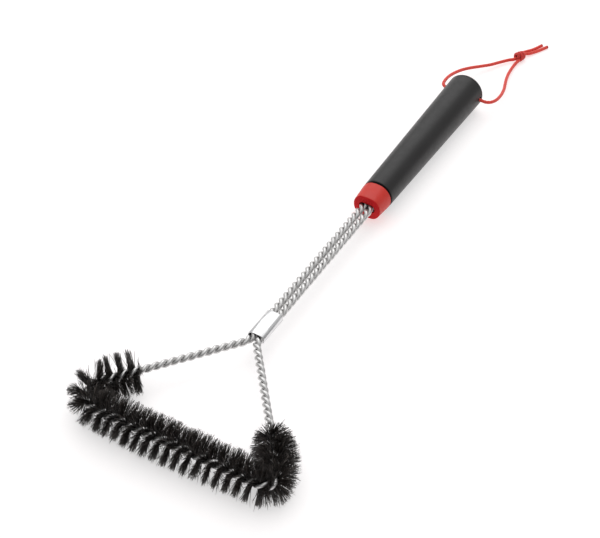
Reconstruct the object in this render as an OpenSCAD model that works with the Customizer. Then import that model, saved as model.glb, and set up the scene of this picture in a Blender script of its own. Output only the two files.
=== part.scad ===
// Triangular twisted-wire grill cleaning brush: a three-sided bristle head on a double wire stem,
// a tapered moulded handle with a red front collar, and a knotted hanging cord.
// The tool lies flat on the floor: +Y runs from the bristle head to the handle's end, +Z is up.

/* [Head] */
// Distance between the two front corners of the wire, measured before they are rounded
head_w = 200; // [180:5:215]
// Distance from the front wire to the point where the two leg lines cross
head_l = 128; // [120:2:140]
// Radius of the wire's bend at the left front corner, to its centre line
corner_r_left = 16.8; // [12:0.2:18]
// Radius of the wire's bend at the right front corner, to its centre line
corner_r_right = 9.2; // [9:0.2:13]
// Radius of the wire's bend where each leg leaves the ferrule
throat_r = 14; // [13:1:18]
// Distance from the wire's centre line to the bristle tips
bristle_r = 18.5; // [17.8:0.1:20]
// Length of the left leg that carries bristles, measured from the unrounded corner
wing_l_left = 66; // [50:1:80]
// Length of the right leg that carries bristles, measured from the unrounded corner
wing_l_right = 63; // [50:1:80]

/* [Wire] */
// Diameter of one strand of wire
wire_d = 3.2; // [2.6:0.1:3.3]
// Distance between the centres of the two stems
stem_gap = 7; // [7:0.1:7.2]
// Length of one full turn of the bare twisted wire
bare_pitch = 14.4; // [13:0.1:18]
// Length of one full turn of the wire that holds the bristles
brush_pitch = 18; // [16:0.5:22]
// Bare stem that shows between the ferrule and the collar
stem_l = 154.9; // [120:0.1:180]

/* [Ferrule] */
// Length of the ferrule that joins the two stems
ferrule_l = 29.5; // [22:0.5:36]
// Wall thickness of the ferrule
ferrule_wall = 0.85; // [0.6:0.05:1.2]

/* [Handle] */
// Length of the red collar in front of the grip
collar_l = 18.2; // [16:0.1:26]
// Length of the grip's moulded shell
grip_l = 172.8; // [130:0.1:190]
// Radius of the grip at its front end
grip_front_r = 14.2; // [14:0.1:15]
// Radius of the grip at its rear end
grip_rear_r = 17.3; // [16.5:0.1:17.5]
// Thickness of the end cap behind the grip
cap_l = 4; // [3:0.5:6]
// Distance from the cord hole to the grip's rear end
hole_back = 3.6; // [3.4:0.1:8]

/* [Cord] */
// Diameter of the hanging cord
cord_d = 3; // [2:0.1:3.4]
// Largest radius of the knot
knot_r = 4.8; // [4.6:0.1:5]
// Length of the knot along the cord
knot_l = 10; // [8:0.5:10]

/* [Hidden] */

// Height of every wire and of the handle's axis above the floor
axis_z = 17.5;

// The wire's centre line, from the middle of the front wire to its end in the handle. Pairs are [left, right].
half_w = head_w / 2;
stem_x = stem_gap / 2;
leg_angle = atan2(half_w, head_l);
corner_turn = 90 + leg_angle;
corner_r = [corner_r_left, corner_r_right];
corner_t = corner_r * tan(corner_turn / 2);
throat_t = throat_r * tan(leg_angle / 2);
throat_y = head_l * (1 - stem_x / half_w);
leg_l = norm([half_w - stem_x, throat_y]) - throat_t;
throat_arc = throat_r * leg_angle * PI / 180;
front_end = [for (t = corner_t) half_w - t];
corner_end = front_end + corner_r * corner_turn * PI / 180;
leg_end = corner_end + [for (t = corner_t) leg_l - t];
throat_end = [for (e = leg_end) e + throat_arc];
brush_end = corner_end + [wing_l_left, wing_l_right] - corner_t;

// Stations along the tool, from the front wire backwards.
ferrule_y = throat_y + throat_t + 0.4;
collar_y = ferrule_y + ferrule_l + stem_l;
gasket_y = collar_y + collar_l;
gasket_l = 1.2;
grip_y = gasket_y + gasket_l;
spigot_l = 15;
lip_l = 3;
block_y = grip_y + spigot_l + lip_l + 0.2;
block_l = 20;
pocket_l = 10;
retainer_y = block_y + block_l + 0.2;
retainer_l = 3;
stem_end = block_y + block_l - 0.4;
wire_end = [for (e = throat_end) e + stem_end - throat_y - throat_t];
cap_y = grip_y + grip_l;
hole_y = cap_y - hole_back;
centre_y = (cap_y + cap_l - bristle_r) / 2;
centre_x = (front_end[1] + corner_r[1] - front_end[0] - corner_r[0]) / 2;

// Strands: two wires wound left-handed around the centre line, closer together where they are bare.
strand_sides = 6;
strand_step = 1.7;
strand_ring_r = wire_d / 2 * sqrt(2 * PI / strand_sides / sin(360 / strand_sides));
bare_wind_r = wire_d / 2 + 0.13;
brush_wind_r = wire_d / 2 + 0.35;
stem_r = bare_wind_r + strand_ring_r;
wind_blend = 6;

// Bristle rows: one thin strip between the strands that widens into two opposite fans.
bristle_step = 1.5;
fan_angle = 40;
bisector_slope = tan((180 - corner_turn) / 2);
bristle_gap = 0.2;

// Obround sections, as half width and half height.
ferrule_in = [stem_x + stem_r + 0.15, stem_r + 0.15];
ferrule_out = [ferrule_in[0] + ferrule_wall, ferrule_in[1] + ferrule_wall];
collar_slot = [7.6, 4.1];
collar_flat = 11.3;
cap_round_r = 3.8;

// Handle insides.
spigot_r = 11.15;
lip_r = 9.4;
block_r = 11.3;
plug_r = 14.5;
plug_l = 16.8;
bore_gap = 0.15;
cord_hole_r = cord_d / 2 + 0.9;
screw_z = 7.6;
screw_r = 1.5;

// Cord: hand-placed points, measured from the middle of the cord hole.
knot_x = 13.5;
knot_front = 92.5;
knot_z = knot_r - axis_z;
cord_sides = 8;
loop_left = [[-14, 0, 0], [-17, 0, 0], [-20.2, 0.9, 0], [-22.6, 3.3, -0.2], [-23.9, 7, -0.6],
    [-24.6, 12.5, -1.2], [-24.8, 20, -2.4], [-23.8, 29, -4.2], [-21.2, 39, -6.2], [-16.8, 49, -8.4],
    [-10.9, 59, -10.7], [-4.6, 69, -12.7], [1, 79, -13.9], [6.2, 86.5, -14.2], [11.7, 92.4, -14]];
loop_right = [[14, 0, -0.2], [19.2, -0.2, -0.8], [22.6, 0.5, -1.4], [25.6, 2.6, -2], [27.6, 6.1, -2.7],
    [28.6, 10.5, -3.5], [28.8, 16, -4.6], [27.9, 25, -6.4], [25.4, 36, -8.7], [22, 46, -10.6],
    [18.7, 56, -12.4], [16, 67, -14], [14.6, 78, -14.8], [14.6, 86, -14.6], [15.3, 92.4, -14]];
tail_left = [[12, 102.6, -14], [14, 108, -15], [19, 117, -15.9], [23.5, 127.5, -15.9]];
tail_right = [[15.4, 102.6, -14], [19, 108, -15], [24, 117.5, -15.9], [29, 128, -15.9]];

// ---- functions ----

function reversed(list) = [for (i = [len(list) - 1:-1:0]) list[i]];

function unit(v) = v / norm(v);

// Index of the half that the distance u lies in: 0 left, 1 right.
function side(u) = u < 0 ? 0 : 1;

// Centre line of one half k, drawn to the right: [x, y, heading] at the distance u from the front wire's middle.
function half_path(u, k) =
    let (
        r = corner_r[k],
        a = (u - front_end[k]) / r * 180 / PI,
        corner_exit = [front_end[k] + r * sin(corner_turn), r * (1 - cos(corner_turn))],
        leg_dir = [cos(corner_turn), sin(corner_turn)],
        leg_exit = corner_exit + (leg_end[k] - corner_end[k]) * leg_dir,
        b = corner_turn - (u - leg_end[k]) / throat_r * 180 / PI,
        stem_start = throat_y + throat_t
    )
    u < front_end[k] ? [u, 0, 0] :
    u < corner_end[k] ? [front_end[k] + r * sin(a), r * (1 - cos(a)), a] :
    u < leg_end[k] ? [each corner_exit + (u - corner_end[k]) * leg_dir, corner_turn] :
    u < throat_end[k] ? [leg_exit[0] + throat_r * (sin(corner_turn) - sin(b)),
        leg_exit[1] + throat_r * (cos(b) - cos(corner_turn)), b] :
    [stem_x, stem_start + u - throat_end[k], 90];

// The whole centre line: negative distances run to the left.
function wire_at(u) =
    let (half = half_path(abs(u), side(u)))
    u < 0 ? [-half[0], half[1], -half[2]] : half;

// A point at the radius r and the angle t around the centre line; 0 degrees points into the triangle.
function around(u, r, t) =
    let (w = wire_at(u))
    [w[0] - r * cos(t) * sin(w[2]), w[1] + r * cos(t) * cos(w[2]), r * sin(t)];

// Twist angle of the strands at the distance u.
function twist(u) =
    let (
        brush_part = min(abs(u), brush_end[side(u)]) / brush_pitch,
        bare_part = max(abs(u) - brush_end[side(u)], 0) / bare_pitch
    )
    -360 * sign(u) * (brush_part + bare_part);

function wind_r(u) =
    let (k = min(max(abs(u) - brush_end[side(u)], 0) / wind_blend, 1))
    brush_wind_r + k * (bare_wind_r - brush_wind_r);

function strand_centre(u, phase) = around(u, wind_r(u), twist(u) + phase);

function strand_ring(u, phase) =
    let (
        c = strand_centre(u, phase),
        t = unit(strand_centre(u + 0.2, phase) - strand_centre(u - 0.2, phase)),
        out = c - around(u, 0, 0),
        e = unit(out - (out * t) * t),
        f = cross(t, e)
    )
    [for (i = [0:strand_sides - 1])
        let (a = 360 * (i + 0.5) / strand_sides)
        c + strand_ring_r * (cos(a) * e + sin(a) * f)];

// How far a bristle reaches at the angle t: short of the floor and of the next side's bristles.
function inner_reach(u) =
    let (
        k = side(u),
        w = abs(u),
        from_corner = w < front_end[k] ? half_w - w : corner_t[k] + w - corner_end[k]
    )
    max(corner_r[k], from_corner * bisector_slope) - 0.4;

function reach(u, t) =
    let (
        to_floor = sin(t) < -0.1 ? -axis_z / sin(t) : bristle_r,
        to_inside = cos(t) > 0.1 ? inner_reach(u) / cos(t) : bristle_r
    )
    min(bristle_r, to_floor, to_inside);

// One side of a bristle strip's section, from the neck out to the fan's rim and back.
function fan(u, t) =
    let (
        neck = [[2.3, -10], [3.9, -24]],
        rim = [for (a = [-fan_angle, 0, fan_angle]) [reach(u, t + a), a]],
        back = [[3.9, 24], [2.3, 10]]
    )
    [for (p = concat(neck, rim, back)) around(u, min(p[0], reach(u, t + p[1])), t + p[1])];

function bristle_ring(u) =
    let (t = twist(u) + 90)
    concat(fan(u, t), [around(u, 0.1, t + 90)], fan(u, t + 180), [around(u, 0.1, t - 90)]);

// A smooth curve through the points p, with n steps between neighbours.
function spline_point(p, i, k) =
    let (
        a = p[max(i - 1, 0)],
        b = p[i],
        c = p[i + 1],
        d = p[min(i + 2, len(p) - 1)]
    )
    0.5 * (2 * b + (c - a) * k + (2 * a - 5 * b + 4 * c - d) * k * k + (3 * b - 3 * c + d - a) * k * k * k);

function smooth(p, n) =
    concat([for (i = [0:len(p) - 2]) for (j = [0:n - 1]) spline_point(p, i, j / n)], [p[len(p) - 1]]);

// Rings around a cord's curve; its two ends are cut square to the Y axis, to meet the knot.
function cord_ring(c, i) =
    let (
        last = len(c) - 1,
        raw = c[min(i + 1, last)] - c[max(i - 1, 0)],
        t = i == 0 || i == last ? [0, sign(raw[1]), 0] : unit(raw),
        side = unit(cross(t, [0, 0, 1])),
        up = cross(side, t)
    )
    [for (k = [0:cord_sides - 1])
        let (a = 360 * (k + 0.5) / cord_sides)
        c[i] + cord_d / 2 * (cos(a) * side + sin(a) * up)];

// ---- helpers ----

// Places the tool on the floor with the middle of its footprint at the origin.
module placed() {
    translate([-centre_x, -centre_y, axis_z]) children();
}

// Turns a shape drawn around Z so that it runs along the tool, starting at the station y.
module along(y) {
    translate([0, y, 0]) rotate([-90, 0, 0]) children();
}

// Closed skin over rings that all have the same number of points.
module skin(rings) {
    n = len(rings[0]);
    m = len(rings);
    sides = [for (i = [0:m - 2]) for (j = [0:n - 1])
        let (a = i * n + j, b = i * n + (j + 1) % n)
        each [[a, a + n, b + n], [a, b + n, b]]];
    first = [for (j = [0:n - 1]) j];
    end = [for (j = [n - 1:-1:0]) (m - 1) * n + j];
    polyhedron(points = [for (r = rings) each r], faces = concat(sides, [first, end]), convexity = 12);
}

module obround(half) {
    for (s = [-1, 1]) {
        translate([s * (half[0] - half[1]), 0]) circle(r = half[1], $fn = 48);
    }
    square([2 * (half[0] - half[1]), 2 * half[1]], center = true);
}

module obround_tube(outer, inner, y, l) {
    along(y) linear_extrude(height = l) difference() {
        obround(outer);
        obround(inner);
    }
}

// Two holes or screws above and below the stems.
module screw_pair(y, r, l) {
    for (s = [-1, 1]) {
        translate([0, 0, s * screw_z]) along(y) cylinder(r = r, h = l, $fn = 32);
    }
}

module strand(phase) {
    whole = wire_end[0] + wire_end[1];
    steps = round(whole / strand_step);
    placed() color("silver") skin([for (i = [0:steps]) strand_ring(whole * i / steps - wire_end[0], phase)]);
}

module bristles(from, to) {
    steps = round((to - from) / bristle_step);
    placed() color("#241f1d") skin([for (i = [0:steps]) bristle_ring(from + (to - from) * i / steps)]);
}

module cord(points, n) {
    curve = smooth(points, n);
    placed() translate([0, hole_y, 0]) color("#c8322d")
        skin([for (i = [0:len(curve) - 1]) cord_ring(curve, i)]);
}

// ---- sub-parts ----

module grip_shell() {
    placed() color("#2b2b2c") difference() {
        along(0) rotate_extrude($fn = 96) polygon([
            [grip_front_r - 0.6, grip_y], [grip_front_r, grip_y + 0.6], [grip_rear_r, cap_y],
            [plug_r + bore_gap, cap_y], [plug_r + bore_gap, cap_y - plug_l - 0.3],
            [grip_rear_r - 3, cap_y - plug_l - 0.3], [block_r + bore_gap, block_y - 0.2],
            [lip_r, block_y - 0.2], [lip_r, grip_y + spigot_l],
            [spigot_r + bore_gap, grip_y + spigot_l], [spigot_r + bore_gap, grip_y]
        ]);
        translate([0, hole_y, 0]) rotate([0, 90, 0])
            cylinder(r = cord_hole_r, h = 2 * grip_rear_r + 2, center = true, $fn = 48);
    }
}

module end_cap() {
    rim_r = grip_rear_r - cap_round_r;
    placed() color("#232324") difference() {
        along(0) rotate_extrude($fn = 96) polygon(concat(
            [[0, cap_y - 9], [9, cap_y - 9], [9, cap_y - plug_l], [plug_r, cap_y - plug_l],
                [plug_r, cap_y], [grip_rear_r, cap_y]],
            [for (a = [0:15:90]) [rim_r + cap_round_r * cos(a), cap_y + cap_l - cap_round_r * (1 - sin(a))]],
            [[0, cap_y + cap_l]]
        ));
        translate([0, hole_y, 0]) rotate([0, 90, 0])
            cylinder(r = cord_hole_r, h = 2 * plug_r + 2, center = true, $fn = 48);
    }
}

module grip_gasket() {
    placed() color("#0d0d0d") along(gasket_y) difference() {
        cylinder(r = grip_front_r - 0.2, h = gasket_l, $fn = 96);
        translate([0, 0, -1]) cylinder(r = spigot_r + bore_gap, h = gasket_l + 2, $fn = 96);
    }
}

module front_collar() {
    front_r = grip_front_r - 1.3;
    chamfer = 0.8;
    back = gasket_y;
    placed() color("#c23a34") difference() {
        union() {
            intersection() {
                along(0) rotate_extrude($fn = 96) polygon([[0, collar_y], [front_r - chamfer, collar_y],
                    [front_r, collar_y + chamfer], [grip_front_r, back], [0, back]]);
                rotate([90, 0, 90]) linear_extrude(height = 3 * grip_front_r, center = true)
                    polygon([[collar_y, chamfer - collar_flat], [collar_y + chamfer, -collar_flat],
                        [back, -grip_front_r], [back, grip_front_r], [collar_y + chamfer, collar_flat],
                        [collar_y, collar_flat - chamfer]]);
            }
            along(back - 1) cylinder(r = spigot_r, h = gasket_l + spigot_l + 0.7, $fn = 96);
        }
        along(collar_y - 1) linear_extrude(height = collar_l + spigot_l + 4) obround(collar_slot);
        screw_pair(grip_y + 5.5, screw_r + 0.05, 12);
    }
}

module anchor_block() {
    placed() color("#4a4a4c") difference() {
        along(block_y) cylinder(r = block_r, h = block_l, $fn = 96);
        along(block_y - 1) linear_extrude(height = block_l + 2) obround(ferrule_in);
        along(block_y + block_l - pocket_l) linear_extrude(height = pocket_l + 1)
            obround([ferrule_out[0] + 0.2, ferrule_out[1] + 0.2]);
        screw_pair(block_y - 1, screw_r + 0.2, block_l + 2);
    }
}

module anchor_ferrule() {
    placed() color("lightgray")
        obround_tube(ferrule_out, ferrule_in, block_y + block_l - pocket_l + 0.1, pocket_l - 0.3);
}

module block_retainer() {
    placed() color("gray") difference() {
        along(retainer_y) cylinder(r = block_r, h = retainer_l, $fn = 96);
        screw_pair(retainer_y - 1, screw_r + 0.2, retainer_l + 2);
    }
}

module retainer_screws() {
    head_y = retainer_y + retainer_l;
    tip_y = grip_y + 6.5;
    placed() color("silver") {
        screw_pair(tip_y, screw_r, head_y - tip_y + 0.1);
        difference() {
            screw_pair(head_y, 2.8, 2.4);
            for (s = [-1, 1]) {
                translate([0, 0, s * screw_z]) along(head_y + 1) cylinder(r = 1.4, h = 2, $fn = 6);
            }
        }
    }
}

module ferrule() {
    placed() color("gainsboro") obround_tube(ferrule_out, ferrule_in, ferrule_y, ferrule_l);
}

module wire_strand_a() {
    strand(0);
}

module wire_strand_b() {
    strand(180);
}

module bristles_left_wing() {
    bristles(-brush_end[0], -corner_end[0] - bristle_gap);
}

module bristles_left_corner() {
    bristles(bristle_gap - corner_end[0], -front_end[0] - bristle_gap);
}

module bristles_front() {
    bristles(bristle_gap - front_end[0], front_end[1] - bristle_gap);
}

module bristles_right_corner() {
    bristles(front_end[1] + bristle_gap, corner_end[1] - bristle_gap);
}

module bristles_right_wing() {
    bristles(corner_end[1] + bristle_gap, brush_end[1]);
}

module cord_loop() {
    cord(concat(reversed(loop_left), loop_right), 2);
}

module cord_knot() {
    face_r = 3.7;
    placed() translate([knot_x, hole_y, knot_z]) color("#b52a26")
        along(knot_front) rotate_extrude($fn = 48) polygon(concat(
            [[0, 0], [face_r, 0]],
            [for (k = [0.15:0.14:0.86]) [face_r + (knot_r - face_r) * sin(180 * k), knot_l * k]],
            [[face_r, knot_l], [0, knot_l]]
        ));
}

module cord_tail_left() {
    cord(tail_left, 2);
}

module cord_tail_right() {
    cord(tail_right, 2);
}

grip_shell();
end_cap();
grip_gasket();
front_collar();
anchor_block();
anchor_ferrule();
block_retainer();
retainer_screws();
ferrule();
wire_strand_a();
wire_strand_b();
bristles_left_wing();
bristles_left_corner();
bristles_front();
bristles_right_corner();
bristles_right_wing();
cord_loop();
cord_knot();
cord_tail_left();
cord_tail_right();
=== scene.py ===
import math

import bpy
import numpy as np
from mathutils import Matrix, Vector


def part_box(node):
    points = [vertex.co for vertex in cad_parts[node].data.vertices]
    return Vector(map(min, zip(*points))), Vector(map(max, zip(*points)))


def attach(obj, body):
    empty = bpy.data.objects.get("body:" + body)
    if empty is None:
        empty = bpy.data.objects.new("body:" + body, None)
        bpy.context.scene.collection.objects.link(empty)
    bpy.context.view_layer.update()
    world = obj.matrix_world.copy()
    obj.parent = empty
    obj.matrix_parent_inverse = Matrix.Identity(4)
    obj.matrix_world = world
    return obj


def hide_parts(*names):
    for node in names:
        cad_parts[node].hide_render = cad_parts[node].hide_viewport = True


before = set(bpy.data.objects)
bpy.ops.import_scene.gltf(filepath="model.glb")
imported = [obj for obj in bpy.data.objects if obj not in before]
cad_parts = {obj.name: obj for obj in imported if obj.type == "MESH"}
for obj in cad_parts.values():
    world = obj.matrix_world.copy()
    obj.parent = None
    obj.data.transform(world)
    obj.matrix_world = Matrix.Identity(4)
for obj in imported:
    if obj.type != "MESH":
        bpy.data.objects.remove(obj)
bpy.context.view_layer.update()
MM = 0.001

# ---------------------------------------------------------------- camera
camera = bpy.data.objects.new("camera", bpy.data.cameras.new("camera"))
bpy.context.scene.collection.objects.link(camera)
bpy.context.scene.camera = camera
camera.data.lens = 108
camera.data.sensor_width = 36
camera.data.clip_start = 0.05
camera.data.clip_end = 30
forward = Vector((-0.35933, 0.63437, -0.68444)).normalized()
right = Vector((0.86412, 0.50312, 0.01266))
right = (right - forward * right.dot(forward)).normalized()
up = right.cross(forward)
turn = Matrix((right, up, -forward)).transposed()
camera.matrix_world = Matrix.Translation((0.52481, -0.98065, 1.04456)) @ turn.to_4x4()

# ---------------------------------------------------------------- sizes, in mm, as in the CAD source
HEAD_W, HEAD_L, THROAT_R = 200.0, 128.0, 14.0
CORNER_R = np.array([16.8, 9.2])  # left, right
WING_L = np.array([66.0, 63.0])
BRISTLE_R = 18.5
WIRE_D, STEM_GAP, BARE_PITCH, BRUSH_PITCH = 3.2, 7.0, 14.4, 18.0
HOLE_BACK, CORD_D = 3.6, 3.0
FERRULE_GAP = 0.4  # from the throat's bends to the ferrule
STEM_END_GAP = 0.6  # from the stems' ends to the retainer disc
GRIP_TAPER = 3.1  # how much smaller the grip's radius is at the front

# Distances along the wire are measured from the front side's middle, and come in pairs like CORNER_R.
half_w, stem_x = HEAD_W / 2, STEM_GAP / 2
leg_angle = math.atan2(half_w, HEAD_L)
corner_turn = math.pi / 2 + leg_angle
corner_t = CORNER_R * math.tan(corner_turn / 2)
throat_t = THROAT_R * math.tan(leg_angle / 2)
throat_y = HEAD_L * (1 - stem_x / half_w)
front_end = half_w - corner_t
corner_end = front_end + CORNER_R * corner_turn
leg_end = corner_end + math.hypot(half_w - stem_x, throat_y) - throat_t - corner_t
throat_end = leg_end + THROAT_R * leg_angle
brush_end = corner_end + WING_L - corner_t

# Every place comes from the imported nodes: the head's own y starts at the front wire.
ferrule_lo, ferrule_hi = (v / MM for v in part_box("ferrule"))
shift_y = ferrule_lo.y - (throat_y + throat_t + FERRULE_GAP)
AXIS_X = (ferrule_lo.x + ferrule_hi.x) / 2
AXIS_Z = (ferrule_lo.z + ferrule_hi.z) / 2
gasket_lo, gasket_hi = (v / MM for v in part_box("grip_gasket"))
grip_lo, grip_hi = (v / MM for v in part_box("grip_shell"))
grip_rear_r = (grip_hi.x - grip_lo.x) / 2
grip_front_r = grip_rear_r - GRIP_TAPER
hole_y = grip_hi.y - HOLE_BACK
stem_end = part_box("block_retainer")[0].y / MM - STEM_END_GAP
wire_end = throat_end + stem_end - shift_y - throat_y - throat_t


# ---------------------------------------------------------------- mesh helpers
def add_mesh(name, verts, faces, mat, body, sharp=None):
    """A smooth piece from vertices in mm (row frame) and faces (lists, or an array of equal faces)."""
    mesh = bpy.data.meshes.new(name)
    verts = np.asarray(verts, float) * MM
    if isinstance(faces, np.ndarray):
        count, sides = faces.shape
        mesh.vertices.add(len(verts))
        mesh.vertices.foreach_set("co", verts.astype(np.float32).ravel())
        mesh.loops.add(count * sides)
        mesh.loops.foreach_set("vertex_index", faces.astype(np.int32).ravel())
        mesh.polygons.add(count)
        mesh.polygons.foreach_set("loop_start", np.arange(0, count * sides, sides, dtype=np.int32))
        mesh.update(calc_edges=True)
        mesh.validate()
    else:
        mesh.from_pydata(verts.tolist(), [], faces)
        mesh.update()
    mesh.polygons.foreach_set("use_smooth", np.full(len(mesh.polygons), True))
    if sharp:
        mesh.set_sharp_from_angle(angle=math.radians(sharp))
    piece = bpy.data.objects.new(name, mesh)
    bpy.context.scene.collection.objects.link(piece)
    piece.data.materials.append(mat)
    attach(piece, body)
    return piece


def grid_faces(rows, cols, closed_rows=False, flip=False):
    """Quads between neighbouring rings of cols points; closed_rows joins the last ring to the first."""
    faces = []
    for i in range(rows if closed_rows else rows - 1):
        for j in range(cols):
            a, b = i * cols + j, i * cols + (j + 1) % cols
            c, d = ((i + 1) % rows) * cols + (j + 1) % cols, ((i + 1) % rows) * cols + j
            faces.append([a, d, c, b] if flip else [a, b, c, d])
    return np.array(faces)


def rings_to_mesh(rings):
    """Vertices and faces over rings with the same number of points, both ends closed by a fan."""
    rings = np.asarray(rings, float)
    rows, cols, _ = rings.shape
    verts = rings.reshape(-1, 3)
    faces = grid_faces(rows, cols).tolist()
    first, last = len(verts), len(verts) + 1
    verts = np.vstack([verts, rings[0].mean(0), rings[-1].mean(0)])
    end = (rows - 1) * cols
    for j in range(cols):
        faces.append([first, (j + 1) % cols, j])
        faces.append([last, end + j, end + (j + 1) % cols])
    return verts, faces


def circle(n):
    """The angles of n points evenly round a circle."""
    return np.arange(n) * 2 * math.pi / n


def closed_rings(rings, flip=False):
    """Vertices and faces over rings that follow each other round a closed section, as on a sleeve."""
    rings = np.array(rings)
    return rings.reshape(-1, 3), grid_faces(*rings.shape[:2], closed_rows=True, flip=flip)


LATHE_N = 144


def lathe(profile):
    """Closed surface of revolution about the handle's axis; profile is a closed list of (radius, y)."""
    angles = circle(LATHE_N)
    return closed_rings([[(AXIS_X + r * math.cos(a), y, AXIS_Z + r * math.sin(a)) for a in angles]
                         for r, y in profile], flip=True)


def tube_rings(centre, radius, e, f, angles):
    """Circles of points round each point of a line; e and f span the section, radius is (points, angles)."""
    section = np.cos(angles)[:, None] * e[..., None, :] + np.sin(angles)[:, None] * f[..., None, :]
    return centre[..., None, :] + radius[..., None] * section


def arc(cx, cy, r, a0, a1, n):
    """Points on an arc in a lathe profile."""
    return [(cx + r * math.cos(math.radians(a0 + (a1 - a0) * i / n)),
             cy + r * math.sin(math.radians(a0 + (a1 - a0) * i / n))) for i in range(n + 1)]


def catmull(points, n):
    """Smooth curve through the points with n steps between neighbours, as the CAD source draws it."""
    p = np.asarray(points, float)
    out = []
    for i in range(len(p) - 1):
        a, b, c, d = p[max(i - 1, 0)], p[i], p[i + 1], p[min(i + 2, len(p) - 1)]
        for j in range(n):
            k = j / n
            out.append(0.5 * (2 * b + (c - a) * k + (2 * a - 5 * b + 4 * c - d) * k * k
                              + (3 * b - 3 * c + d - a) * k * k * k))
    out.append(p[-1])
    return np.array(out)


def resample(curve, step):
    """Evenly spaced points along a polyline."""
    seg = np.linalg.norm(np.diff(curve, axis=0), axis=1)
    s = np.concatenate([[0], np.cumsum(seg)])
    count = max(int(round(s[-1] / step)), 2)
    want = np.linspace(0, s[-1], count + 1)
    return np.stack([np.interp(want, s, curve[:, k]) for k in range(3)], 1)


def frames(curve):
    """Tangents and two turning-free normals along a curve."""
    t = np.gradient(curve, axis=0)
    t /= np.linalg.norm(t, axis=1)[:, None]
    e = np.cross(t[0], (0, 0, 1.0))
    if np.linalg.norm(e) < 0.1:
        e = np.cross(t[0], (1.0, 0, 0))
    normals = []
    for i in range(len(curve)):
        e = e - (e @ t[i]) * t[i]
        e /= np.linalg.norm(e)
        normals.append(e)
    normals = np.array(normals)
    return t, normals, np.cross(t, normals)


# ---------------------------------------------------------------- materials
def material(name, colour, metallic, roughness, specular=0.5):
    m = bpy.data.materials.new(name)
    m.use_nodes = True
    shader = m.node_tree.nodes["Principled BSDF"]
    shader.inputs["Base Color"].default_value = (*colour, 1)
    shader.inputs["Metallic"].default_value = metallic
    shader.inputs["Roughness"].default_value = roughness
    shader.inputs["Specular IOR Level"].default_value = specular
    return m


def node(m, kind, **settings):
    n = m.node_tree.nodes.new(kind)
    for key, value in settings.items():
        if key in n.inputs:
            n.inputs[key].default_value = value
        else:
            setattr(n, key, value)
    return n


def link(m, a, b):
    m.node_tree.links.new(a, b)


def noise(m, scale, detail=4.0, stretch=(1, 1, 1), rough=0.5):
    """Object-space noise with the scale in cycles per metre."""
    where = node(m, "ShaderNodeTexCoord")
    mapping = node(m, "ShaderNodeMapping")
    mapping.inputs["Scale"].default_value = stretch
    tex = node(m, "ShaderNodeTexNoise", Scale=scale, Detail=detail, Roughness=rough)
    link(m, where.outputs["Object"], mapping.inputs["Vector"])
    link(m, mapping.outputs["Vector"], tex.inputs["Vector"])
    return tex.outputs["Fac"]


def ramp(m, source, stops):
    r = node(m, "ShaderNodeValToRGB")
    while len(r.color_ramp.elements) < len(stops):
        r.color_ramp.elements.new(0.5)
    for e, (at, colour) in zip(r.color_ramp.elements, stops):
        e.position = at
        e.color = (*colour, 1)
    link(m, source, r.inputs["Fac"])
    return r.outputs["Color"]


def remap(m, source, low, high, to_low, to_high):
    r = node(m, "ShaderNodeMapRange")
    r.inputs["From Min"].default_value = low
    r.inputs["From Max"].default_value = high
    r.inputs["To Min"].default_value = to_low
    r.inputs["To Max"].default_value = to_high
    link(m, source, r.inputs["Value"])
    return r.outputs["Result"]


def bump(m, height, strength, distance):
    b = node(m, "ShaderNodeBump", Strength=strength, Distance=distance)
    link(m, height, b.inputs["Height"])
    set_input(m, "Normal", b.outputs["Normal"])


def set_input(m, name, source):
    link(m, source, m.node_tree.nodes["Principled BSDF"].inputs[name])


def plastic(name, colour, roughness, grain=5200, wear=0.12, specular=0.5):
    """Moulded plastic: fine spark-eroded grain, faint colour drift and slightly polished patches."""
    m = material(name, colour, 0.0, roughness, specular)
    drift = noise(m, 38, 3.0)
    dark = tuple(c * (1 - wear) for c in colour)
    light = tuple(min(c * (1 + wear) + 0.001, 1) for c in colour)
    set_input(m, "Base Color", ramp(m, drift, [(0.3, dark), (0.7, light)]))
    set_input(m, "Roughness", remap(m, noise(m, 160, 5.0), 0.3, 0.7, roughness - 0.04, roughness + 0.05))
    bump(m, noise(m, grain, 2.0), 0.12, 0.00006)
    return m


def steel(name, dark, light, roughness, scale=900, stretch=(1, 1, 1), depth=0.1):
    """Metal with drawn or polished marks in its roughness, tone and bump."""
    m = material(name, light, 1.0, roughness)
    marks = noise(m, scale, 5.0, stretch)
    set_input(m, "Base Color", ramp(m, noise(m, 260, 4.0), [(0.32, dark), (0.66, light)]))
    set_input(m, "Roughness", remap(m, marks, 0.3, 0.7, roughness - 0.05, roughness + 0.07))
    bump(m, marks, depth, 0.00005)
    return m


grip_black = plastic("grip_black", (0.0145, 0.0138, 0.0140), 0.40, wear=0.05, specular=0.36)
cap_black = plastic("cap_black", (0.0135, 0.0128, 0.0130), 0.44, wear=0.05, specular=0.36)
collar_red = plastic("collar_red", (0.62, 0.027, 0.016), 0.46, grain=4200, wear=0.07, specular=0.42)
# The collar's front face gets a darker, deeper copy of its red: painted shade, as that face looks away from
# the light.
collar_face_painted_shade = plastic("collar_face_painted_shade", (0.58, 0.011, 0.014), 0.6, grain=4200, wear=0.07, specular=0.12)
# The core's black, darker than the grip's: partly painted shade deep in the collar's slot.
core_black_and_slot_shade = plastic("core_black_and_slot_shade", (0.006, 0.006, 0.006), 0.6, wear=0.1)
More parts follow.
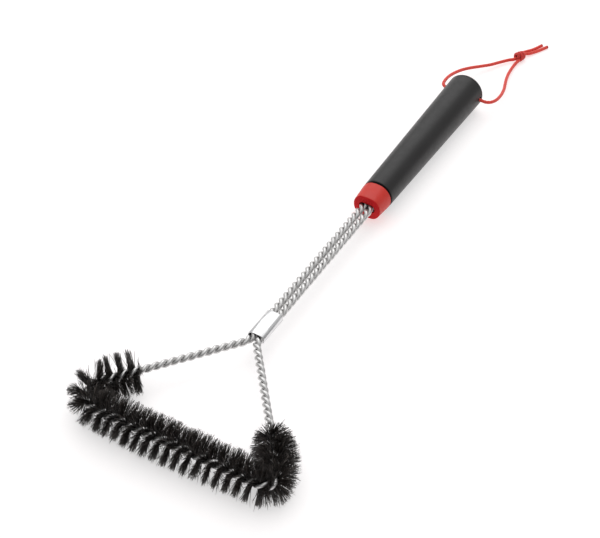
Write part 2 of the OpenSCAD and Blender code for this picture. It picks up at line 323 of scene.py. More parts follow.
# The gasket's black rubber, made near pure black with almost no reflection: partly painted shade of the gap
# between collar and grip.
gasket_black_and_gap_shade = plastic("gasket_black_and_gap_shade", (0.0008, 0.0008, 0.0008), 0.5, grain=2500, specular=0.03)
chrome = steel("chrome", (0.66, 0.66, 0.67), (0.74, 0.74, 0.745), 0.23, 1500, (1, 0.05, 1), depth=0.03)
wire_steel = steel("wire_steel", (0.56, 0.555, 0.55), (0.72, 0.715, 0.71), 0.40, 1400, depth=0.12)
block_grey = plastic("block_grey", (0.07, 0.07, 0.074), 0.5)
sleeve_steel = steel("sleeve_steel", (0.5, 0.5, 0.5), (0.62, 0.62, 0.62), 0.33, 1200, (1, 0.08, 1))
zinc = steel("zinc", (0.42, 0.43, 0.45), (0.58, 0.58, 0.59), 0.38, 700)


def bristle_material():
    """Bristles: each fibre's tone comes from the mesh, from near black up to a light painted glint."""
    m = material("bristle_dark", (0.022, 0.019, 0.018), 0.0, 0.36, 0.5)
    tone = node(m, "ShaderNodeAttribute", attribute_name="tone")
    # Above the middle the ramp rises to light colours: painted glints on the lightest fibres.
    set_input(m, "Base Color", ramp(m, tone.outputs["Fac"], [
        (0.0, (0.008, 0.0062, 0.0052)), (0.5, (0.021, 0.0162, 0.0138)), (0.72, (0.052, 0.041, 0.035)),
        (1.0, (0.20, 0.175, 0.16))]))
    set_input(m, "Roughness", remap(m, noise(m, 700, 3.0), 0.3, 0.7, 0.28, 0.46))
    bump(m, noise(m, 3000, 2.0), 0.2, 0.00005)
    return m


def cord_material(name, dark, light):
    """Braided cord: a fine fuzz varies its tone, and the yarns' height on the mesh darkens the grooves
    between them as painted shade, from dark to light.
    """
    m = material(name, light, 0.0, 0.62, 0.4)
    shader = m.node_tree.nodes["Principled BSDF"]
    shader.inputs["Sheen Weight"].default_value = 0.25
    shader.inputs["Sheen Roughness"].default_value = 0.5
    # The yarns' height darkens the grooves between them: painted shade.
    weave_shade = node(m, "ShaderNodeAttribute", attribute_name="weave_shade")
    fuzz = noise(m, 2600, 4.0)
    mixed = node(m, "ShaderNodeMath", operation="MULTIPLY_ADD")
    link(m, fuzz, mixed.inputs[0])
    mixed.inputs[1].default_value = 0.45
    link(m, weave_shade.outputs["Fac"], mixed.inputs[2])
    set_input(m, "Base Color", ramp(m, mixed.outputs[0], [(0.2, dark), (0.85, light)]))
    bump(m, fuzz, 0.35, 0.0001)
    return m


bristle_dark = bristle_material()
cord_red = cord_material("cord_red", (0.46, 0.020, 0.014), (0.78, 0.058, 0.038))
# The knot is the same cord in a darker red: painted shade of its tight turns.
knot_red_painted_shade = cord_material("knot_red_painted_shade", (0.36, 0.010, 0.009), (0.66, 0.036, 0.026))
melt_red = plastic("melt_red", (0.34, 0.02, 0.016), 0.3, grain=1800, wear=0.3)


# ---------------------------------------------------------------- cords
CORD_R = CORD_D / 2 + 0.06  # the braid's crowns stand a little proud
KNOT_AT, KNOT_CORD_R, KNOT_TURNS, KNOT_PITCH = (14.3, 96.2, -12.5), 1.4, 2.9, 2.75
BEAD_ROWS, BEAD_SIDES = 12, 24
STEP = 0.22  # between the rings of a braided cord


def placed(points):
    """Points measured from the middle of the cord hole, in the row frame, in mm."""
    return np.asarray(points, float) + (AXIS_X, hole_y, AXIS_Z)


def attribute(piece, name, values):
    a = piece.data.attributes.new(name, "FLOAT", "POINT")
    a.data.foreach_set("value", np.asarray(values, np.float32))


def braided(curve, radius, sides, yarns=4, lay=1.1, depth=0.09):
    """Rings of a braided cord: two families of yarns cross diagonally. Returns rings and the yarns' height,
    which the material uses as painted shade in the grooves.
    """
    _, e, f = frames(curve)
    s = np.concatenate([[0], np.cumsum(np.linalg.norm(np.diff(curve, axis=0), axis=1))])
    a = circle(sides)
    spin = 2 * math.pi * s[:, None] / (lay * radius * 2)
    over = np.maximum(np.cos(yarns * a[None] - spin), np.cos(yarns * a[None] + spin))
    return tube_rings(curve, radius - depth + depth * over, e, f, a), 0.5 + 0.5 * over


def cord_piece(name, line, steps, radius, mat, sides=20):
    """A braided cord along a smooth curve through the points of the line. Returns it and the curve."""
    curve = resample(catmull(line, steps), STEP)
    rings, weave_shade = braided(curve, radius, sides)
    verts, faces = rings_to_mesh(rings)
    piece = add_mesh(name, verts, faces, mat, "hang_cord")
    # The yarns' height is stored on the mesh for the painted shade in the grooves.
    attribute(piece, "weave_shade", np.concatenate([weave_shade.ravel(), [0.5, 0.5]]))
    return piece, curve


def melted_end(curve, side, label):
    """The cord's cut end, melted into a small uneven bead that rests on the floor."""
    tip, direction = curve[-1], curve[-1] - curve[-8]
    direction /= np.linalg.norm(direction)
    line = np.array([tip + direction * along for along in np.linspace(-1.1, 0.55, BEAD_ROWS)])
    k = np.linspace(0, 1, BEAD_ROWS)
    swell = 1.02 * np.sqrt(np.clip(1 - (2 * np.clip(k, 0.06, 0.985) - 1) ** 6, 0.02, 1))
    _, e, f = frames(line)
    a, k = circle(BEAD_SIDES)[None], k[:, None]
    lump = 1 + 0.05 * np.sin(3 * a + 2 * side + 4 * k) + 0.03 * np.sin(5 * a + 7 * k)
    verts, faces = rings_to_mesh(tube_rings(line, CORD_D / 2 * swell[:, None] * lump, e, f, a[0]))
    verts[:, 2] = np.maximum(verts[:, 2], 0.02)
    return add_mesh(f"cord_{label}_melted_end", verts, faces, melt_red, "hang_cord")


def knot_line():
    """The knot as seen from outside: one coil, its turns side by side and both ends tucked inside."""
    centre = placed(KNOT_AT)
    along, across = np.array([0.42, 0.907, 0.0]), np.array([0.907, -0.42, 0.0])
    upward = np.array([0, 0, 1.0])
    coil = []
    for q in np.linspace(0, 1, 90):
        a = 0.4 + 2 * math.pi * KNOT_TURNS * q
        tuck = min(1.0, min(q, 1 - q) / 0.07)
        r = 0.9 + (2.45 + 0.25 * math.sin(2 * math.pi * q)) * tuck ** 0.6
        coil.append(centre + across * (r * 1.04 * math.cos(a)) + upward * (r * math.sin(a))
                    + along * ((q - 0.5) * KNOT_PITCH * KNOT_TURNS + 0.7 * math.sin(a + 0.6)))
    return np.array(coil)


loop_left = [[0, 0, 0], [-7, 0, 0], [-14, 0, 0], [-17, 0, 0], [-20.2, 0.9, 0], [-22.6, 3.3, -0.2],
             [-23.9, 7, -0.6], [-24.6, 12.5, -1.2], [-24.8, 20, -2.4], [-23.8, 29, -4.2], [-21.2, 39, -6.2],
             [-16.8, 49, -8.4], [-10.9, 59, -10.7], [-4.6, 69, -12.7], [1, 79, -13.9], [6.2, 86.5, -14.2],
             [11.7, 92.4, -14]]
loop_right = [[0, 0, 0], [7, 0, -0.05], [14, 0, -0.2], [19.2, -0.2, -0.8], [22.6, 0.5, -1.4],
              [25.6, 2.6, -2], [27.6, 6.1, -2.7], [28.6, 10.5, -3.5], [28.8, 16, -4.6], [27.9, 25, -6.4],
              [25.4, 36, -8.7], [22, 46, -10.6], [18.7, 56, -12.4], [16, 67, -14], [14.6, 78, -14.8],
              [14.6, 86, -14.6], [15.3, 92.4, -14]]
tail_left = [[12, 102.6, -14], [14, 108, -15], [19, 117, -15.9], [23.5, 127.5, -15.9]]
tail_right = [[15.4, 102.6, -14], [19, 108, -15], [24, 117.5, -15.9], [29, 128, -15.9]]

for side, label, loop, tail in ((-1, "left", loop_left, tail_left), (1, "right", loop_right, tail_right)):
    route = placed(loop + tail)
    piece, curve = cord_piece(f"cord_{label}", route, 12, CORD_R, cord_red)
    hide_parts("cord_loop", f"cord_tail_{label}")
    bead = melted_end(curve, side, label)

knot, _ = cord_piece("knot", knot_line(), 3, KNOT_CORD_R, knot_red_painted_shade, sides=18)
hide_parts("cord_knot")


# ---------------------------------------------------------------- the wire's centre line
def hand(u):
    """0 left of the front side's middle and 1 right of it, to pick from a pair of sizes."""
    return np.where(np.asarray(u) < 0, 0, 1)


def wire_at(u):
    """Point (x, y) and heading at the distances u along the wire, in the row frame, in mm."""
    u = np.atleast_1d(np.asarray(u, float))
    left, w, k = u < 0, np.abs(u), hand(u)
    # The stretches end, from the middle outwards, at fe (front), ce (corner), le (leg) and te (throat).
    r, fe, ce, le, te = CORNER_R[k], front_end[k], corner_end[k], leg_end[k], throat_end[k]
    a = (w - fe) / r
    exit_x = fe + r * math.sin(corner_turn)
    exit_y = r * (1 - math.cos(corner_turn))
    dx, dy = math.cos(corner_turn), math.sin(corner_turn)
    b = corner_turn - (w - le) / THROAT_R
    leg_x, leg_y = exit_x + (le - ce) * dx, exit_y + (le - ce) * dy
    bands = [w < fe, w < ce, w < le, w < te]
    x = np.select(bands, [w, fe + r * np.sin(a), exit_x + (w - ce) * dx,
                          leg_x + THROAT_R * (math.sin(corner_turn) - np.sin(b))], stem_x)
    y = np.select(bands, [0 * w, r * (1 - np.cos(a)), exit_y + (w - ce) * dy,
                          leg_y + THROAT_R * (np.cos(b) - math.cos(corner_turn))],
                  throat_y + throat_t + w - te)
    h = np.select(bands, [0 * w, a, 0 * w + corner_turn, b], math.pi / 2)
    return AXIS_X + np.where(left, -x, x), y + shift_y, np.where(left, -h, h)


def around(u, r, t):
    """Points at the radius r and the angle t about the centre line; angle 0 points into the triangle."""
    x, y, h = wire_at(u)
    t = t + 0 * x
    return np.stack([x - r * np.cos(t) * np.sin(h), y + r * np.cos(t) * np.cos(h),
                     AXIS_Z + r * np.sin(t)], -1)


def twist(u):
    """The strands' angle about the centre line, wound closer on the bare wire."""
    w, end = np.abs(u), brush_end[hand(u)]
    turns = np.minimum(w, end) / BRUSH_PITCH + np.maximum(w - end, 0) / BARE_PITCH
    return -2 * math.pi * np.sign(u) * turns


def wind_r(u):
    """The strands' distance from the centre line, wider where bristles lie between them."""
    k = np.clip((np.abs(u) - brush_end[hand(u)]) / 6.0, 0, 1)
    brush_wind, bare_wind = WIRE_D / 2 + 0.35, WIRE_D / 2 + 0.2
    return brush_wind + k * (bare_wind - brush_wind)


STRAND_SIDES, STRAND_D, STRAND_STEP = 14, 3.5, 0.62


def strand(label, phase):
    """One of the two steel wires, from one stem's end round the head to the other's."""
    u = np.linspace(-wire_end[0], wire_end[1], int(wire_end.sum() / STRAND_STEP))

    def path(at):
        return around(at, wind_r(u), twist(at) + phase)

    centre = path(u)
    tangent = path(u + 0.1) - path(u - 0.1)
    tangent /= np.linalg.norm(tangent, axis=1)[:, None]
    out = centre - around(u, 0, 0)
    e = out - (out * tangent).sum(1)[:, None] * tangent
    e /= np.linalg.norm(e, axis=1)[:, None]
    radius = np.full((1, 1), STRAND_D / 2)
    verts, faces = rings_to_mesh(tube_rings(centre, radius, e, np.cross(tangent, e), circle(STRAND_SIDES)))
    piece = add_mesh(f"wire_{label}", verts, faces, wire_steel, "brush")
    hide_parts(f"wire_strand_{label}")


strand("a", 0.0)
strand("b", math.pi)


# ---------------------------------------------------------------- bristles
FILAMENT_SIDES, FILAMENT_STEPS = 3, 6
PER_MM = 16.5
CLUMP = 1.5  # length of wire whose fibres lean together
WORN_OUTER, WORN_INNER = 2.3, 0.9  # change of length towards the corners, outside and inside
WORN_END = np.array([0.12, 0.24])  # share lost at the wings' ends
WORN_END_L = np.array([5.0, 22.0])
PUSHED = 4.5  # how far one tuft is pushed over


def filaments(name, line, radius, heading):
    """A mesh of thin fibres along the lines (fibre, step, point)."""
    n = len(line)
    tangent = np.gradient(line, axis=1)
    tangent /= np.linalg.norm(tangent, axis=2)[..., None]
    ref = np.stack([np.cos(heading), np.sin(heading), 0 * heading], -1).reshape(n, 1, 3)
    e = np.cross(tangent, ref + 0 * tangent)
    e /= np.linalg.norm(e, axis=2)[..., None]
    f = np.cross(tangent, e)
    verts = tube_rings(line, radius[..., None], e, f, circle(FILAMENT_SIDES)).reshape(-1, 3)
    verts[:, 2] = np.maximum(verts[:, 2], 0.03)
    per = FILAMENT_STEPS * FILAMENT_SIDES
    first = (np.arange(n) * per)[:, None, None]
    quads = (grid_faces(FILAMENT_STEPS, FILAMENT_SIDES)[None] + first).reshape(-1, 4)
    caps = np.array([[0, 2, 1], [per - 3, per - 2, per - 1]])
    caps = (caps[None] + first).reshape(-1, 3)
    faces = np.concatenate([quads[:, [0, 1, 2]], quads[:, [0, 2, 3]], caps])
    return add_mesh(name, verts, faces, bristle_dark, "brush")


def tufts(name, seed, start, end, per_mm, fray, bristle_node):
    """Filaments caught between the strands: a twisted row whose fibres fan out, clump and fray."""
    rng = np.random.default_rng(seed)
    count = int(abs(end - start) * per_mm)
    u = np.sort(rng.uniform(start, end, count))
    # The last rows before the bare wire thin out.
    left_over = (brush_end[hand(u)] - np.abs(u)) / 5.0
    kept = rng.random(count) < np.clip(left_over, 0.12, 1)
    u, left_over = np.repeat(u[kept], 2), np.repeat(left_over[kept], 2)
    n = len(u)
    side = np.tile([0.0, math.pi], n // 2)
    # Neighbouring fibres lean together in small clumps.
    clump = np.floor(u / CLUMP + side).astype(int)
    clump_rng = np.random.default_rng(seed + 1000)
    keys, inverse = np.unique(clump, return_inverse=True)
    lean_a = clump_rng.normal(0, 0.10, len(keys))[inverse]
    lean_u = clump_rng.normal(0, 0.7, len(keys))[inverse]
    clump_long = clump_rng.normal(0, 0.35, len(keys))[inverse]
    angle = twist(u) + math.pi / 2 + side + rng.normal(0, 0.16 * fray, n) + lean_a
    drift = rng.normal(0, 1.0 * fray, n) + lean_u
    stray = rng.random(n) < 0.07
    drift = np.where(stray, drift * 2.2, drift)
    angle = np.where(stray, angle + rng.normal(0, 0.25, n), angle)
    reach = BRISTLE_R + clump_long + rng.normal(0, 0.85, n) - 0.5
    reach = reach + np.where(stray, rng.uniform(0, 1.4, n), 0)
    reach = reach - np.where(left_over < 0.8, rng.uniform(0, 7, n), 0)
    # Worn shape: shorter outside and a little longer inside towards both corners, and tapered at the
    # wings' ends.
    inward, w, k = np.cos(angle), np.abs(u), hand(u)
    worn = np.where(inward < 0, WORN_OUTER, WORN_INNER) * inward
    reach = reach + worn * np.clip((w - 25) / 45, 0, 1) * (w < corner_end[1] + 8)
    reach = reach * (1 - WORN_END[k] * np.clip(1 - (brush_end[k] - w) / WORN_END_L[k], 0, 1))
    # Fibres on the inner side of a corner cross each other, so they lie shorter and more tangled.
    in_corner = (w > front_end[k] - 2) & (w < corner_end[k] + 2) & (inward > 0.2)
    reach = np.where(in_corner, reach * rng.uniform(0.6, 1.04, n), reach)
    drift = np.where(in_corner, drift * 2.4, drift)
    # One tuft on the outer side of the left corner is pushed over towards the wing.
    pushed = (u < 8 - corner_end[0]) & (u > -corner_end[0] - 2) & (inward < 0.2)
    drift = np.where(pushed, drift - PUSHED, drift)
    bow_a, bow_u = rng.normal(0, 0.05, n), rng.normal(0, 0.5, n)
    k = np.linspace(0, 1, FILAMENT_STEPS)[None]
    r = 0.2 + (reach[:, None] - 0.2) * k
    wobble = np.sin(2 * math.pi * (1.3 * k + rng.random(n)[:, None])) * rng.normal(0, 0.11, n)[:, None] * k
    t = angle[:, None] + bow_a[:, None] * np.sin(math.pi * k)
    along = drift[:, None] * k ** 1.3 + bow_u[:, None] * np.sin(math.pi * k) * 0.5 + wobble
    x, y, h = (v.reshape(-1, 1) for v in wire_at(u))
    px = x - r * np.cos(t) * np.sin(h) + along * np.cos(h)
    py = y + r * np.cos(t) * np.cos(h) + along * np.sin(h)
    pz = AXIS_Z + r * np.sin(t)
    # Where the tips meet the floor they bend along it.
    under = np.maximum(0.25 - pz, 0)
    px = px - np.sign(np.cos(t)) * np.sin(h) * under * 0.8
    py = py + np.sign(np.cos(t)) * np.cos(h) * under * 0.8
    radius = rng.uniform(0.19, 0.26, n)[:, None] * np.interp(k, [0, 0.75, 1], [1, 0.95, 0.5])
    piece = filaments(name, np.stack([px, py, pz + under], -1), radius, h)
    # Each fibre's tone differs at random; along it the root is darker and the tip lighter, as painted shade
    # inside the tuft and painted light on the tips.
    tone = np.clip(rng.beta(1.7, 2.6, n), 0, 1)
    tone = np.repeat(tone[:, None] + np.interp(k, [0, 1], [-0.12, 0.08]), FILAMENT_SIDES, axis=1)
    attribute(piece, "tone", np.clip(tone.ravel(), 0, 1))
    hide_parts(bristle_node)


tufts("tufts_left_wing", 11, -brush_end[0], -corner_end[0], PER_MM, 1.0, "bristles_left_wing")
tufts("tufts_left_corner", 12, -corner_end[0], -front_end[0], PER_MM, 1.3, "bristles_left_corner")
tufts("tufts_front_left", 13, -front_end[0], 0, PER_MM, 1.25, "bristles_front")
tufts("tufts_front_right", 14, 0, front_end[1], PER_MM, 1.25, "bristles_front")
tufts("tufts_right_corner", 15, front_end[1], corner_end[1], PER_MM * 1.15, 1.5, "bristles_right_corner")
tufts("tufts_right_wing", 16, corner_end[1], brush_end[1], PER_MM * 1.15, 1.6, "bristles_right_wing")

# ---------------------------------------------------------------- ferrule
FERRULE_N, WALL = 96, 0.85
# How far the ferrule's surface lies in from its outline, and how far from its end: its rounded rim.
RIM = ((WALL, 0.35), (WALL - 0.12, 0.08), (WALL - 0.3, 0), (0.3, 0), (0.1, 0.08), (0.0, 0.3))


def ferrule_ring(inset, y):
    """Points of a flattened oval section with slightly crowned top and bottom."""
    half_x = (ferrule_hi.x - ferrule_lo.x) / 2 - inset
    half_z = (ferrule_hi.z - ferrule_lo.z) / 2 - inset + 0.25
    a = math.pi - circle(FERRULE_N)
    across = np.sign(np.cos(a)) * np.abs(np.cos(a)) ** 0.62
    return np.stack([AXIS_X + half_x * across, np.full(FERRULE_N, y), AXIS_Z + half_z * np.sin(a)], -1)


section = [ferrule_ring(inset, ferrule_lo.y + depth) for inset, depth in RIM]
section += [ferrule_ring(inset, ferrule_hi.y - depth) for inset, depth in reversed(RIM)]
verts, faces = closed_rings(section)
piece = add_mesh("ferrule_tube", verts, faces, chrome, "brush", sharp=40)
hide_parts("ferrule")

# ---------------------------------------------------------------- collar
COLLAR_N = 144
FLAT_FRONT, SOFT = 11.3, 14.0  # height of the flats at the front, and how sharply they meet the round
COLLAR_EDGE, SLOT_EDGE = 1.05, 0.5  # radii of the front edge and of the slot's edge
SLOT_HALF, FACE_SHADE_DEPTH, BACK_INSET = (7.6, 4.1), 0.45, 0.5
collar_front_r = grip_front_r - 1.3
collar_y0, collar_y1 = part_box("front_collar")[0].y / MM, gasket_lo.y
collar_len = collar_y1 - collar_y0
phi = circle(COLLAR_N)


def collar_radius(k, inset=0.0):
    """Outline at the share k of the collar's length: a circle cut by two flats, edges rounded."""
    circle_r = collar_front_r + (grip_front_r - collar_front_r) * k - inset
    flat = FLAT_FRONT + (grip_front_r + 0.6 - FLAT_FRONT) * k - inset
    flats = flat / np.maximum(np.abs(np.sin(phi)), 1e-3)
    return (circle_r ** -SOFT + flats ** -SOFT) ** (-1 / SOFT)


def collar_ring(radius, depth):
    """A ring about the handle's axis at the depth behind the collar's front face."""
    return np.stack([AXIS_X + radius * np.cos(phi), np.full(COLLAR_N, collar_y0 + depth),
                     AXIS_Z + radius * np.sin(phi)], -1)


def slot_radius(half):
    """Distance from the axis to an obround outline, by angle."""
    flat, r = half[0] - half[1], half[1]
    c, s = np.abs(np.cos(phi)), np.abs(np.sin(phi))
    top = r / np.maximum(s, 1e-6)
    on_round = flat * c + np.sqrt(np.maximum(r * r - (flat * s) ** 2, 0))
    return np.where(top * c <= flat, top, on_round)


def slot_grown(by):
    """The slot's half width and half height, each larger by the given amount."""
    return SLOT_HALF[0] + by, SLOT_HALF[1] + by


rings = [collar_ring(collar_radius(k), k * collar_len)
         for k in (1.0, 0.9, 0.75, 0.6, 0.45, 0.3, 0.18, 0.1, 0.055)]
for a in np.radians((15, 30, 45, 60, 75, 90)):
    depth = COLLAR_EDGE * (1 - math.sin(a))
    rings.append(collar_ring(collar_radius(depth / collar_len, COLLAR_EDGE * (1 - math.cos(a))), depth))
outer, inner = collar_radius(0, COLLAR_EDGE), slot_radius(slot_grown(SLOT_EDGE))
rings += [collar_ring(outer + (inner - outer) * k, 0) for k in (0.3, 0.6, 0.85, 1.0)]
rings += [collar_ring(slot_radius(slot_grown(SLOT_EDGE * (1 - math.sin(a)))), SLOT_EDGE * (1 - math.cos(a)))
          for a in np.radians((30, 60, 90))]
rings += [collar_ring(slot_radius(SLOT_HALF), depth) for depth in (1.2, 2.2, collar_len - 1, collar_len)]
rings.append(collar_ring((slot_radius(SLOT_HALF) + collar_radius(1.0)) / 2, collar_len))
rings.append(collar_ring(collar_radius(1.0, BACK_INSET), collar_len))
verts, faces = closed_rings(rings)
piece = add_mesh("collar", verts, faces, collar_red, "brush", sharp=50)
piece.data.materials.append(collar_face_painted_shade)
# Faces at the very front take the darker red: painted shade on the collar's front face.
for face in piece.data.polygons:
    if face.center.y / MM < collar_y0 + FACE_SHADE_DEPTH:
        face.material_index = 1
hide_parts("front_collar")

# A black core lines the slot behind the collar's rim and fills it round the stems further in; its near-black,
# darker than the grip's, is partly painted shade deep in the slot.
lining = slot_grown(-0.12)
waist = (lining[0] * 0.6, lining[1] * 0.3)
core = [collar_ring(slot_radius(half), depth) for half, depth in (
    (SLOT_HALF, 1.3), (lining, 1.5), (lining, 12.0), (waist, 12.2), (waist, 12.6), (lining, 13.0),
    (slot_grown(-0.02), 13.2))]
verts, faces = closed_rings(core)
piece = add_mesh("collar_core", verts, faces, core_black_and_slot_shade, "brush", sharp=40)
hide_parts("front_collar")

# ---------------------------------------------------------------- gasket
LIP, GASKET_BORE_R = 1.0, 11.5  # the gasket's lip covers the grip's front edge
gasket_y0, gasket_y1, gasket_r = gasket_lo.y, gasket_hi.y + LIP, grip_front_r - 0.05
verts, faces = lathe([(GASKET_BORE_R, gasket_y0 + 0.02), (gasket_r - 0.2, gasket_y0 + 0.02),
                      (gasket_r - 0.04, gasket_y0 + 0.1), (gasket_r, gasket_y0 + 0.25),
                      (gasket_r, gasket_y1 - 0.27), (gasket_r - 0.04, gasket_y1 - 0.1),
                      (gasket_r - 0.2, gasket_y1 - 0.02), (GASKET_BORE_R, gasket_y1 - 0.02)])
piece = add_mesh("gasket", verts, faces, gasket_black_and_gap_shade, "brush", sharp=50)
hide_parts("grip_gasket")

# ---------------------------------------------------------------- grip
GRIP_N, PATCH = 128, 5  # segments round the grip; a hole's patch is 2 x PATCH segments and rows
PATCH_HALF = 3.2  # half the patch's length along the grip
HOLE_R, HOLE_RIM = CORD_D / 2 + 0.9, 0.35
FRONT_EDGE_X, FRONT_EDGE_Y = 0.62, 0.6
FRONT_BORE_R, CAVITY_BACK, RECESS_DEPTH = 11.4, 12, 0.5
segment = 2 * math.pi / GRIP_N
grip_y0, grip_y1 = grip_lo.y, grip_hi.y
grip_start = grip_y0 + LIP
block_lo, block_hi = (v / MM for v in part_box("anchor_block"))
cavity_r = min((block_hi.x - block_lo.x) / 2 + 0.3, grip_front_r - 0.9)
verts, faces = [], []


def vert(p):
    """Add a vertex to the grip and return its number."""
    verts.append(p)
    return len(verts) - 1


def grip_radius(y):
    """The grip's straight taper from front to rear."""
    return grip_front_r + (grip_rear_r - grip_front_r) * (y - grip_y0) / (grip_y1 - grip_y0)


def grip_point(a, y, r=None):
    """A vertex on the grip at the angle a about its axis, on its surface unless a radius is given."""
    r = grip_radius(y) if r is None else r
    return vert((AXIS_X + r * math.cos(a), y, AXIS_Z + r * math.sin(a)))


front_profile = [(cavity_r, grip_y1 - CAVITY_BACK), (cavity_r, grip_start + 4.2),
                 (FRONT_BORE_R, grip_start + 4), (FRONT_BORE_R, grip_start + 0.12),
                 (grip_front_r - FRONT_EDGE_X, grip_start)]
front_profile += [(grip_front_r - FRONT_EDGE_X * (1 - math.sin(a)),
                   grip_start + FRONT_EDGE_Y * (1 - math.cos(a))) for a in np.radians((25, 50, 72))]
outside = [grip_start + FRONT_EDGE_Y, grip_start + 2.5]
outside += list(np.linspace(grip_y0 + 6, hole_y - PATCH_HALF, 36))
patch_start = len(front_profile) + len(outside) - 1
outside += [hole_y + PATCH_HALF * (i / PATCH - 1) for i in range(1, 2 * PATCH + 1)]
patch_end = len(front_profile) + len(outside) - 1
outside += [grip_y1 - 0.18]
rear_profile = [(grip_rear_r - 0.16, grip_y1 - 0.02), (grip_rear_r - 0.5, grip_y1),
                (grip_rear_r - 1.6, grip_y1), (grip_rear_r - 1.6, grip_y1 - RECESS_DEPTH)]
profile = front_profile + [(None, y) for y in outside] + rear_profile
rows = [[grip_point(j * segment, y, r) for j in range(GRIP_N)] for r, y in profile]

# Both patches are left open for the mouths of the cord hole.
for i in range(len(rows) - 1):
    for j in range(GRIP_N):
        near_right = (j + PATCH) % GRIP_N < 2 * PATCH
        near_left = (j + PATCH - GRIP_N // 2) % GRIP_N < 2 * PATCH
        if patch_start <= i < patch_end and (near_right or near_left):
            continue
        n = (j + 1) % GRIP_N
        faces.append([rows[i][j], rows[i + 1][j], rows[i + 1][n], rows[i][n]])

# The cavity for the anchor ends in front of the cord hole; the cap closes the rear recess.
cavity_end = vert((AXIS_X, grip_y1 - CAVITY_BACK, AXIS_Z))
recess = vert((AXIS_X, grip_y1 - RECESS_DEPTH, AXIS_Z))
for j in range(GRIP_N):
    n = (j + 1) % GRIP_N
    faces.append([cavity_end, rows[0][j], rows[0][n]])
    faces.append([recess, rows[-1][n], rows[-1][j]])


def hole_mouth(sign):
    """Fill one patch round the hole's rounded mouth; returns the ring of vertices at its deep end."""
    middle = 0 if sign > 0 else GRIP_N // 2
    span = 2 * PATCH
    border = [(k - PATCH, 0) for k in range(span)] + [(PATCH, k) for k in range(span)]
    border += [(PATCH - k, span) for k in range(span)] + [(-PATCH, span - k) for k in range(span)]
    spokes = []
    for dj, di in border:
        row = patch_start + di
        a_edge, y_edge = dj * segment, outside[row - len(front_profile)]
        theta = math.atan2(math.sin(a_edge) * grip_radius(y_edge), y_edge - hole_y)

        def rim_point(r):
            y = hole_y + r * math.cos(theta)
            return math.asin(r * math.sin(theta) / grip_radius(y)), y

        a_rim, y_rim = rim_point(HOLE_R + HOLE_RIM)
        spoke = [rows[row][(middle + dj) % GRIP_N]]
        for share in (0.3, 0.6, 0.85):
            spoke.append(grip_point(middle * segment + a_edge + (a_rim - a_edge) * share,
                                    y_edge + (y_rim - y_edge) * share))
        for r, sink in ((HOLE_R + HOLE_RIM, 0.0), (HOLE_R + 0.12, 0.1), (HOLE_R, 0.35)):
            a, y = rim_point(r)
            spoke.append(grip_point(middle * segment + a, y, grip_radius(y) - sink))
        spoke.append(vert((AXIS_X + sign * (grip_rear_r - 6), hole_y + HOLE_R * math.cos(theta),
                           AXIS_Z + sign * HOLE_R * math.sin(theta))))
        spokes.append(spoke)
    for one, two in zip(spokes, spokes[1:] + spokes[:1]):
        for k in range(len(one) - 1):
            faces.append([one[k], two[k], two[k + 1], one[k + 1]])
    return [spoke[-1] for spoke in spokes]


# The hole runs straight through; the left mouth's order is the right one's mirrored.
right_end, left_end = hole_mouth(1), hole_mouth(-1)
count = len(right_end)
for i in range(count):
    j = (2 * PATCH - i) % count
    faces.append([right_end[i], right_end[(i + 1) % count], left_end[(j - 1) % count], left_end[j]])
piece = add_mesh("grip", verts, faces, grip_black, "brush", sharp=35)
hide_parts("grip_shell")

# ---------------------------------------------------------------- end cap
CAP_EDGE_R, DISH, PLUG_L = 3.8, 0.35, 0.4
cap_y0, cap_y1 = grip_y1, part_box("end_cap")[1].y / MM
verts, faces = lathe([(0.01, cap_y0 - PLUG_L), (grip_rear_r - 1.9, cap_y0 - PLUG_L),
                      (grip_rear_r - 1.9, cap_y0 + 0.02), (grip_rear_r - 0.4, cap_y0 + 0.04),
                      (grip_rear_r - 0.1, cap_y0 + 0.12)]
                     + arc(grip_rear_r - CAP_EDGE_R, cap_y1 - CAP_EDGE_R, CAP_EDGE_R, 0, 90, 14)
                     + [(12.0, cap_y1), (11.7, cap_y1 - 0.06), (11.3, cap_y1 - DISH),
                        (6.0, cap_y1 - DISH - 0.05), (2.2, cap_y1 - DISH - 0.06),
                        (1.9, cap_y1 - DISH - 0.3), (0.01, cap_y1 - DISH - 0.3)])
piece = add_mesh("cap", verts, faces, cap_black, "brush", sharp=35)
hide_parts("end_cap")

# ---------------------------------------------------------------- carried-over CAD nodes
for name, mat in (("anchor_block", block_grey), ("anchor_ferrule", sleeve_steel), ("block_retainer", zinc),
                  ("retainer_screws", zinc)):
    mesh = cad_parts[name].data
    mesh.materials.clear()
    mesh.materials.append(mat)

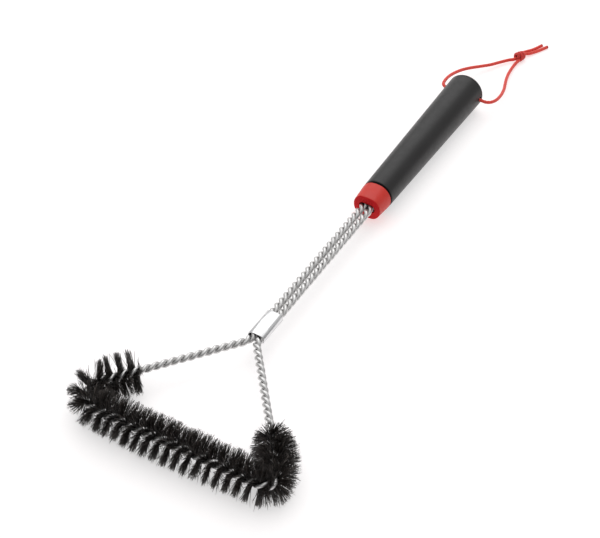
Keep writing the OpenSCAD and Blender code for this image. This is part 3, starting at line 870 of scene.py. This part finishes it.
# ---------------------------------------------------------------- floor, lights and world
FLOOR_HALF = 9
FLOOR_DARK, FLOOR_LIGHT = (0.60, 0.58, 0.58), (0.605, 0.585, 0.585)
floor_mesh = bpy.data.meshes.new("floor")
floor_mesh.from_pydata([(x * FLOOR_HALF, y * FLOOR_HALF, 0) for x, y in ((-1, -1), (1, -1), (1, 1), (-1, 1))],
                       [], [[0, 1, 2, 3]])
floor = bpy.data.objects.new("floor", floor_mesh)
bpy.context.scene.collection.objects.link(floor)
floor_white = material("floor_white", FLOOR_LIGHT, 0.0, 0.9, 0.0)
set_input(floor_white, "Base Color", ramp(floor_white, noise(floor_white, 6, 2.0),
                                          [(0.3, FLOOR_DARK), (0.7, FLOOR_LIGHT)]))
floor_shader = floor_white.node_tree.nodes["Principled BSDF"]
floor_shader.inputs["Emission Color"].default_value = (1, 0.993, 0.993, 1)
floor_shader.inputs["Emission Strength"].default_value = 0.57
floor_mesh.materials.append(floor_white)


def area_light(name, at, size, power):
    """A rectangular light that faces the brush."""
    data = bpy.data.lights.new(name, "AREA")
    data.shape = "RECTANGLE"
    data.size, data.size_y = size
    data.energy = power
    lamp = bpy.data.objects.new(name, data)
    bpy.context.scene.collection.objects.link(lamp)
    lamp.location = at
    lamp.rotation_euler = (-Vector(at)).to_track_quat("-Z", "Y").to_euler()


area_light("key", (-0.75, 1.6, 1.8), (2.5, 2.3), 19)
area_light("top", (-0.3, 0.1, 2.6), (3.4, 3.4), 22)

# The world is bright on the key light's side and falls off away from it.
world = bpy.data.worlds.new("world")
bpy.context.scene.world = world
world.use_nodes = True
background = world.node_tree.nodes["Background"]
facing = node(world, "ShaderNodeVectorMath", operation="DOT_PRODUCT")
facing.inputs[1].default_value = (-0.35, 0.5, 0.79)
link(world, node(world, "ShaderNodeTexCoord").outputs["Generated"], facing.inputs[0])
link(world, remap(world, facing.outputs["Value"], -0.55, 0.75, 0.12, 1.0), background.inputs["Color"])
background.inputs["Strength"].default_value = 0.68
bpy.context.scene.view_settings.view_transform = "Standard"
